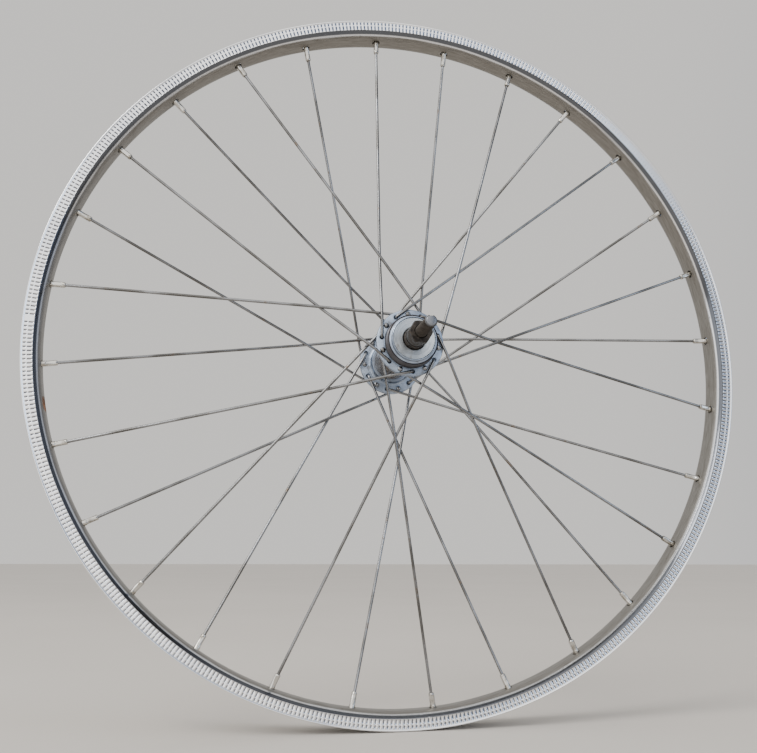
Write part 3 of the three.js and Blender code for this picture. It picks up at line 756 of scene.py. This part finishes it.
# ---- Axle and nuts ------------------------------------------------------------------------------
def keyed(radius, y, angle):
    """The keyway along the axle's upper side, on its threaded ends."""
    x, z = radius * math.cos(angle), radius * math.sin(angle)
    if z > 0 and abs(x) < 1.1 and abs(y) > PLANE["plain"]:
        radius = min(radius, (AXLE_RADIUS - 0.9) / max(math.sin(angle), 0.1))
    return radius, y


def axle():
    core = AXLE_RADIUS - 0.5
    end = AXLE_HALF
    half = [(2.9, end), (3.1, end - 0.08), (core, end - 0.5), (core, 29.0), (AXLE_RADIUS - 0.15, 28.4)]
    body = shaft([(r, -y) for r, y in half] + list(reversed(half)), 72, keyed)
    threads = []
    for low, high in ((-end + 0.5, -29.0), (29.0, end - 0.5)):
        points, faces = threaded(AXLE_RADIUS, 0.5, 1.0, low, high, 72, 5)
        for i, (x, y, z) in enumerate(points):
            radius, angle = math.hypot(x, z), math.atan2(z, x)
            radius, _ = keyed(radius, y, angle)
            away = end - abs(y)
            radius = min(radius, 3.2 + away * 0.9)
            points[i] = (radius * math.cos(angle), y, radius * math.sin(angle))
        threads.append((points, faces))
    return joined(body, *threads)


def collar(inner, outer, low, high, bevel=0.3, segments=96, shape=None):
    corners = [(inner, low), (outer, low), (outer, high), (inner, high)]
    return turned(rounded(corners, bevel), segments, shape)


def stack(side, start, end):
    """Heights on the Y axis of something from start to end out from the middle plane."""
    return sorted((-WAY[side] * start, -WAY[side] * end))


def keyed_washer(side):
    low, high = stack(side, CONE_END[side] + 0.1, CONE_END[side] + 1.7)
    plate = collar(4.2, 7.4, low, high, 0.25)
    tab = [(-0.75, 3.4), (0.75, 3.4), (0.75, 4.6), (-0.75, 4.6)]
    return joined(plate, sweep([[(x, y, z) for x, z in tab] for y in (low + 0.2, high - 0.2)]))


def locknut(side):
    """A hexagon nut, its corners turned off at both faces."""
    low, high = stack(side, OVER_LOCKNUT_HALF - LOCKNUT[side], OVER_LOCKNUT_HALF)

    def shape(radius, y, angle):
        if radius < 5.5:
            return radius, y
        hexagon = 7.1 / math.cos(angle % (math.pi / 3) - math.pi / 6)
        depth = min(y - low, high - y)
        return min(hexagon, 6.95 + depth * 1.9), y

    heights = [low, low + 0.15, low + 0.4, low + 0.9, high - 0.9, high - 0.4, high - 0.15, high]
    profile = [(4.6, low)] + [(8.2, y) for y in heights] + [(4.6, high), (4.2, high - 0.4), (4.2, low + 0.4)]
    return turned(profile, 144, shape)


# ---- Making the pieces --------------------------------------------------------------------------
piece("rim_with_ribbed_tracks", rim(), RIM_CHROME, "wheel", "rim_chrome", "rim", sharp=50.0)
for number in range(SPOKES):
    node = f"spoke_{number + 1:02d}"
    piece(f"wire_{number + 1:02d}", wire(number), WIRE, "wheel", "spoke_steel", node)
    piece(f"nipple_{number + 1:02d}", nipple(number), NICKEL, "wheel", "spoke_steel", node, sharp=30.0)
piece("hub_tube", barrel(), BARREL, "wheel", "hub_chrome", "hub_barrel")
for name in ("drive", "plain"):
    piece(f"{name}_flange_shell", flange(name), FLANGE, "wheel", "hub_chrome", f"{name}_flange", sharp=32.0)
    piece(f"{name}_cup", cup(name), RACE, "wheel", "bearing_steel", f"{name}_bearing_cup")
    piece(f"{name}_cap", dust_cap(name), CAP, "wheel", "nickel_cap", f"{name}_dust_cap")
    body, retainer = f"{name}_balls", f"{name}_ball_retainer"
    piece(f"{name}_cage", cage(name), RACE, body, "bearing_steel", retainer)
    for number in range(BALLS):
        piece(f"{name}_ball_{number + 1}", ball(name, number), BALL, body, "bearing_steel", retainer)
    piece(f"{name}_bearing_cone", cone(name), OILED, "axle_set", "oiled_steel", f"{name}_cone")
    piece(f"{name}_lock_washer", keyed_washer(name), OILED, "axle_set", "oiled_steel", f"{name}_keyed_washer")
    piece(f"{name}_nut", locknut(name), OILED, "axle_set", "oiled_steel", f"{name}_locknut", sharp=25.0)
spacer_low, spacer_high = stack("drive", CONE_END["drive"] + 1.9, OVER_LOCKNUT_HALF - LOCKNUT["drive"] - 0.1)
piece("axle_spacer", collar(4.2, 7.1, spacer_low, spacer_high, 0.4), OILED, "axle_set", "oiled_steel", "drive_spacer")
piece("threaded_axle", axle(), AXLE, "axle_set", "oiled_steel", "axle", sharp=45.0)


# ---- Floor and surroundings ---------------------------------------------------------------------
def pale_floor():
    """A wide flat floor under the wheel."""
    reach = 9000.0
    corners = [(-reach, -reach), (reach, -reach), (reach, reach), (-reach, reach)]
    return [(x, y, -252.0) for x, y in corners], [(0, 1, 2, 3)]


as_object("pale_floor", pale_floor(), PAPER)

def studio():
    """Pale all round, whitest on the camera's side, bluish and dimmer to the right of it."""
    world = bpy.data.worlds.new("studio")
    world.use_nodes = True
    tree = world.node_tree
    direction = tree.nodes.new("ShaderNodeTexCoord")
    split = tree.nodes.new("ShaderNodeSeparateXYZ")
    tree.links.new(direction.outputs["Generated"], split.inputs[0])

    def share(axis, low, high):
        node = tree.nodes.new("ShaderNodeMapRange")
        node.interpolation_type = "SMOOTHSTEP"
        tree.links.new(split.outputs[axis], node.inputs[0])
        node.inputs[1].default_value, node.inputs[2].default_value = low, high
        return node.outputs[0]

    def blend(factor, start, end):
        node = tree.nodes.new("ShaderNodeMix")
        node.data_type = "RGBA"
        tree.links.new(factor, node.inputs[0])
        for socket, value in ((node.inputs[6], start), (node.inputs[7], end)):
            if isinstance(value, tuple):
                socket.default_value = (*value, 1.0)
            else:
                tree.links.new(value, socket)
        return node.outputs[2]

    sideways = share(0, 0.15, 0.42)
    front = blend(sideways, (1.9, 1.88, 1.85), (0.26, 0.33, 0.46))
    back = blend(share(0, 0.4, 0.95), (0.82, 0.80, 0.77), (0.42, 0.45, 0.52))
    tree.links.new(blend(share(1, -0.35, 0.1), front, back), tree.nodes["Background"].inputs["Color"])
    scene.world = world


studio()
